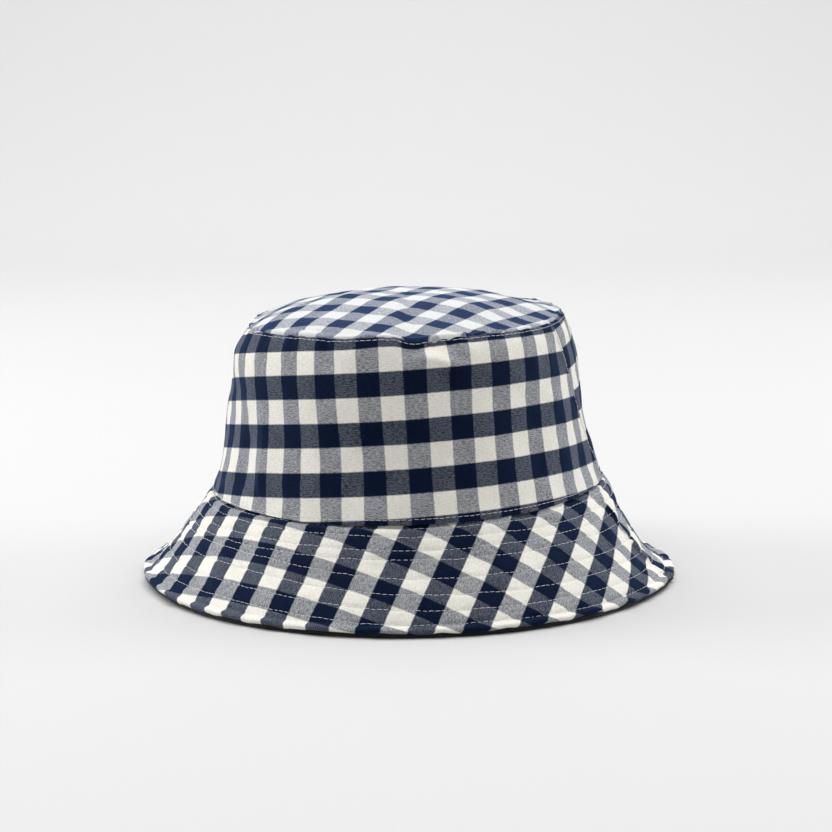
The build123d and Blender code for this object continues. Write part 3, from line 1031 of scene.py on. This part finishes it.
# The label's lower edge curls away from the band: how far, and over what share.
LABEL_CURL, LABEL_CURL_SHARE = 0.5, 0.06


def wall_shares(*nodes):
    """Shares of the crown wall at the lower and upper ends of some CAD nodes."""
    return [(corner[2] - BASE_Z) / (TIP_Z - BASE_Z) for corner in corners_mm(*nodes)]


def strip(name, slot, node, psi, share, inset, thickness, **sheet_words):
    """A strip inside the crown, at an inset from the outer face."""
    points, normal = face_points(crown_base, crown_detail, psi, share)
    faces = between(points, normal, (inset[..., None], inset[..., None] + thickness))
    cut = (base_arc(psi), share * WALL_SLANT)
    panel(name, slot, node, faces, np.stack(cut, -1), cut, **sheet_words)


BAND_REACH = wall_shares("sweatband")
share = share_grid(BAND_REACH, BAND_GRID)
half_turn = pi - JOIN_HALF_ANGLE
psi = np.linspace(-half_turn, half_turn, BAND_GRID[0])[None, :] + 0.0 * share
inset = BAND_INSET + waves(base_arc(psi), share * WALL_SLANT, *BAND_WAVE)
strip("sweatband_ribbon", "sweatband", "sweatband", psi, share, inset, SWEATBAND_THICKNESS)

LABEL_REACH = wall_shares("size_label")
share = share_grid(LABEL_REACH, LABEL_GRID)
half_width = corners_mm("size_label")[1][0] / BASE_HALF[1]
psi = pi + np.linspace(-half_width, half_width, LABEL_GRID[0])[None, :] + 0.0 * share
inset = LABEL_INSET + LABEL_CURL * (1.0 - ease((share - LABEL_REACH[0]) / LABEL_CURL_SHARE))
words = {"held": "hung", "rests_on": ["sweatband_ribbon"]}
strip("blank_label", "label", "size_label", psi, share, inset, LABEL_THICKNESS, **words)

# ---- stitches ----

# Rings along a stitch, as (place, size), from -1 at one end to 1 at the other.
STITCH_RINGS = ((-0.97, 0.55), (-0.75, 0.95), (0.0, 1.0), (0.75, 0.95), (0.97, 0.55))
STITCH_SIDES = 6
STITCH_LIFT, STITCH_DIVE = 0.06, 0.22
# How uneven stitches are: shortest and longest, how far they turn, and how far they stray.
STITCH_SHORTEST, STITCH_LONGEST = 0.9, 1.08
STITCH_TURN, STITCH_STRAY = 0.035, 0.05


def stitch_faces():
    """Faces of one stitch: a tube of rings, closed by a point at each end."""
    faces = []
    last_ring = (len(STITCH_RINGS) - 1) * STITCH_SIDES
    first, last = last_ring + STITCH_SIDES, last_ring + STITCH_SIDES + 1
    for side in range(STITCH_SIDES):
        after = (side + 1) % STITCH_SIDES
        for low in range(0, last_ring, STITCH_SIDES):
            high = low + STITCH_SIDES
            faces.append((low + side, low + after, high + after, high + side))
        faces.append((first, after, side))
        faces.append((last, last_ring + side, last_ring + after))
    return faces


def stitch_row(name, node, path, normal, seed, slot="light_thread"):
    """A row of separate stitches along a dense path on the cloth, each end diving in."""
    rng = np.random.default_rng(seed)
    steps = np.linalg.norm(np.diff(path, axis=0), axis=1)
    distance = np.concatenate([[0.0], np.cumsum(steps)])
    count = int(distance[-1] / (STITCH_LENGTH + STITCH_GAP))
    middle = (np.arange(count) + 0.5) * distance[-1] / count

    def at(place, values):
        """Values along the path at some distances."""
        return np.stack([np.interp(place, distance, values[:, i]) for i in range(3)], -1)

    half = 0.5 * STITCH_LENGTH * rng.uniform(STITCH_SHORTEST, STITCH_LONGEST, count)
    centre, up = at(middle, path), at(middle, normal)
    along = at(middle + half, path) - at(middle - half, path)
    along = along / np.linalg.norm(along, axis=1, keepdims=True)
    side = np.cross(up, along)
    along += side * rng.normal(0.0, STITCH_TURN, (count, 1))
    centre += side * rng.normal(0.0, STITCH_STRAY, (count, 1))
    vertices, uvs = [], []
    for place, size in (*STITCH_RINGS, (-1.0, 0.0), (1.0, 0.0)):
        height = STITCH_LIFT - STITCH_DIVE * abs(place) ** 3 + STITCH_RADIUS * 0.5
        spine = centre + along * (half * place)[:, None] + up * height
        for step in range(STITCH_SIDES if size else 1):
            angle = 2.0 * pi * step / STITCH_SIDES
            ring = cos(angle) * up + sin(angle) * side
            vertices.append(spine + ring * (STITCH_RADIUS * size))
            uvs.append(np.stack([middle + half * place, 0.0 * middle + angle * STITCH_RADIUS], -1))
    vertices, uvs = np.stack(vertices, 1), np.stack(uvs, 1)
    starts = np.arange(count) * vertices.shape[1]
    faces = []
    for start in starts.tolist():
        faces += [tuple(start + corner for corner in face) for face in stitch_faces()]
    piece = new_object(name, vertices.reshape(-1, 3), faces, uvs.reshape(-1, 2), CLOTHS[slot])
    finish_piece(piece, slot, node)


RIBBON = 0.004
FULL_TURN = np.linspace(-pi, pi, 2401)
BRIM_SEED, TIP_SEED, BASE_SEED, BAND_SEED, RIGHT_SEED, LEFT_SEED = 70, 81, 82, 83, 84, 85
BAND_ROW_RISE, BAND_ROW_LIFT = 1.5, 0.05
SIDE_ROW_REACH, SIDE_ROW_POINTS = (0.05, 0.955), 400


def ring_path(base, detail, share):
    """A path right round a surface and its normals, from a narrow ribbon round it."""
    shares = np.stack([share - RIBBON, share, share + RIBBON])
    points, normal = face_points(base, detail, np.stack([FULL_TURN] * 3), shares)
    return points[1], normal[1]


for index in range(len(BRIM_ROWS)):
    name = f"brim_row_{index}_stitches" if index else "brim_base_row_stitches"
    node = f"brim_stitch_row_{index}" if index else "brim_base_topstitch"
    path = ring_path(brim_base, brim_detail, row_share(FULL_TURN, index))
    stitch_row(name, node, *path, BRIM_SEED + index)

for name, node, rise, seed in (
    ("tip_edge_stitches", "tip_edge_topstitch", WALL_SLANT - TIP_ROW_DROP, TIP_SEED),
    ("crown_base_stitches", "crown_base_topstitch", BASE_ROW_RISE, BASE_SEED),
):
    path = ring_path(crown_base, crown_detail, np.full_like(FULL_TURN, rise / WALL_SLANT))
    stitch_row(name, node, *path, seed)

share = np.full_like(FULL_TURN, BAND_REACH[0] + BAND_ROW_RISE / WALL_SLANT)
path, normal = ring_path(crown_base, crown_detail, share)
path = path - normal * (BAND_INSET + SWEATBAND_THICKNESS + BAND_ROW_LIFT)
stitch_row("sweatband_stitches", "sweatband_stitch", path, -normal, BAND_SEED, "dark_thread")


def front_detail(psi, share):
    """The front crown panel's own face, with its edge lapped over the back panel."""
    return crown_detail(psi, share) + lap(psi, share, crown_seam, 0)


for side_name, turn, sign, seed in (("right", 0.0, -1.0, RIGHT_SEED), ("left", pi, 1.0, LEFT_SEED)):
    share = np.linspace(*SIDE_ROW_REACH, SIDE_ROW_POINTS)[:, None] * np.ones((1, 3))
    psi = crown_seam(share) - turn + sign * SIDE_ROW_INSET / SEAM_LAP_RADIUS
    psi += np.array([-RIBBON, 0.0, RIBBON])
    points, normal = face_points(crown_base, front_detail, psi, share)
    name, node = f"side_seam_{side_name}_stitches", f"side_seam_topstitch_{side_name}"
    stitch_row(name, node, points[:, 1], normal[:, 1], seed)

# ---- floor, light and camera ----

FLOOR_PLACES = (-3000.0, -800.0, 800.0, 1500.0)
FLOOR_HALF_WIDTH = 3000.0
SWEEP_RADIUS, SWEEP_STEPS, BACKDROP_HEIGHT = 900.0, 16, 3500.0
# Painted light: the floor and backdrop are painted paler behind the hat, making up for the light falling
# off further from the lamps.
PAINTED_LIGHT_START, PAINTED_LIGHT_RUN = 700.0, 1100.0


def studio_sweep():
    """A pale floor that curves up behind into a backdrop."""
    profile = [(place, 0.0) for place in FLOOR_PLACES]
    for angle in np.linspace(0.0, pi / 2.0, SWEEP_STEPS + 1)[1:]:
        back = FLOOR_PLACES[-1] + SWEEP_RADIUS * sin(angle)
        profile.append((back, SWEEP_RADIUS * (1.0 - cos(angle))))
    profile.append((back, BACKDROP_HEIGHT))
    places = np.array([-FLOOR_HALF_WIDTH, 0.0, FLOOR_HALF_WIDTH])
    grid = np.array([[(x, y, z) for x in places] for y, z in profile])
    faces = grid_faces(len(profile), len(places), False)
    nodes = Nodes("studio_paper")
    uv, across, along = nodes.cloth_map()
    grain = nodes.noise(uv, 0.8, 3.0, 0.6)
    floor_tone = nodes.mix(grain, srgb(200, 200, 200), srgb(204, 204, 204))
    # Painted light: the tone grows paler further back, where less lamp light reaches.
    beyond = nodes.math("SUBTRACT", along, PAINTED_LIGHT_START)
    far_painted_light = nodes.math("DIVIDE", beyond, PAINTED_LIGHT_RUN, clamp=True)
    colour = nodes.mix(far_painted_light, floor_tone, srgb(209, 209, 209))
    nodes.bump(grain, 0.05, 0.0002)
    material = nodes.finish(colour, 0.95, 0.1)
    points = grid.reshape(-1, 3)
    new_object("studio_sweep", points, faces, points[:, :2], material)


studio_sweep()

world = bpy.data.worlds.new("studio")
bpy.context.scene.world = world
world.use_nodes = True
background = world.node_tree.nodes["Background"]
background.inputs["Color"].default_value = WHITE
background.inputs["Strength"].default_value = 0.28


def area_light(name, place, aim, size, power):
    """A soft square light at a place, pointing at an aim, all in metres."""
    data = bpy.data.lights.new(name, "AREA")
    data.shape = "SQUARE"
    data.size = size
    data.energy = power
    light = bpy.data.objects.new(name, data)
    light.location = place
    light.rotation_mode = "QUATERNION"
    light.rotation_quaternion = (Vector(aim) - Vector(place)).to_track_quat("-Z", "Y")
    bpy.context.collection.objects.link(light)


HAT_MIDDLE = (0.0, 0.0, 0.06)
area_light("overhead_softbox", (0.0, 0.5, 2.4), (0.0, 0.5, 0.0), 3.4, 86.0)
area_light("left_softbox", (-1.5, 0.3, 0.7), HAT_MIDDLE, 0.9, 14.0)
area_light("right_softbox", (1.5, 0.3, 0.7), HAT_MIDDLE, 0.9, 9.5)
area_light("front_fill", (-0.4, -1.7, 1.7), HAT_MIDDLE, 1.2, 3.5)

CAMERA_DISTANCE = 1.00828
CAMERA_ELEVATION = 0.1608
CAMERA_AIM_HEIGHT = 0.07149
CAMERA_ROLL = 0.0092
CAMERA_LENS = 94.06
CAMERA_SHIFT_X = 0.0092

camera_data = bpy.data.cameras.new("camera")
camera_data.sensor_width = 36.0
camera_data.lens = CAMERA_LENS
camera_data.shift_x = CAMERA_SHIFT_X
camera_data.clip_start = 0.05
camera_data.clip_end = 50.0
camera = bpy.data.objects.new("camera", camera_data)
back = Vector((0.0, -cos(CAMERA_ELEVATION), sin(CAMERA_ELEVATION)))
camera.location = back * CAMERA_DISTANCE + Vector((0.0, 0.0, CAMERA_AIM_HEIGHT))
camera.rotation_mode = "QUATERNION"
facing = (-back).to_track_quat("-Z", "Y").to_matrix().to_4x4()
camera.rotation_quaternion = (facing @ Matrix.Rotation(-CAMERA_ROLL, 4, "Z")).to_quaternion()
bpy.context.collection.objects.link(camera)
bpy.context.scene.camera = camera
bpy.context.scene.view_settings.view_transform = "Standard"
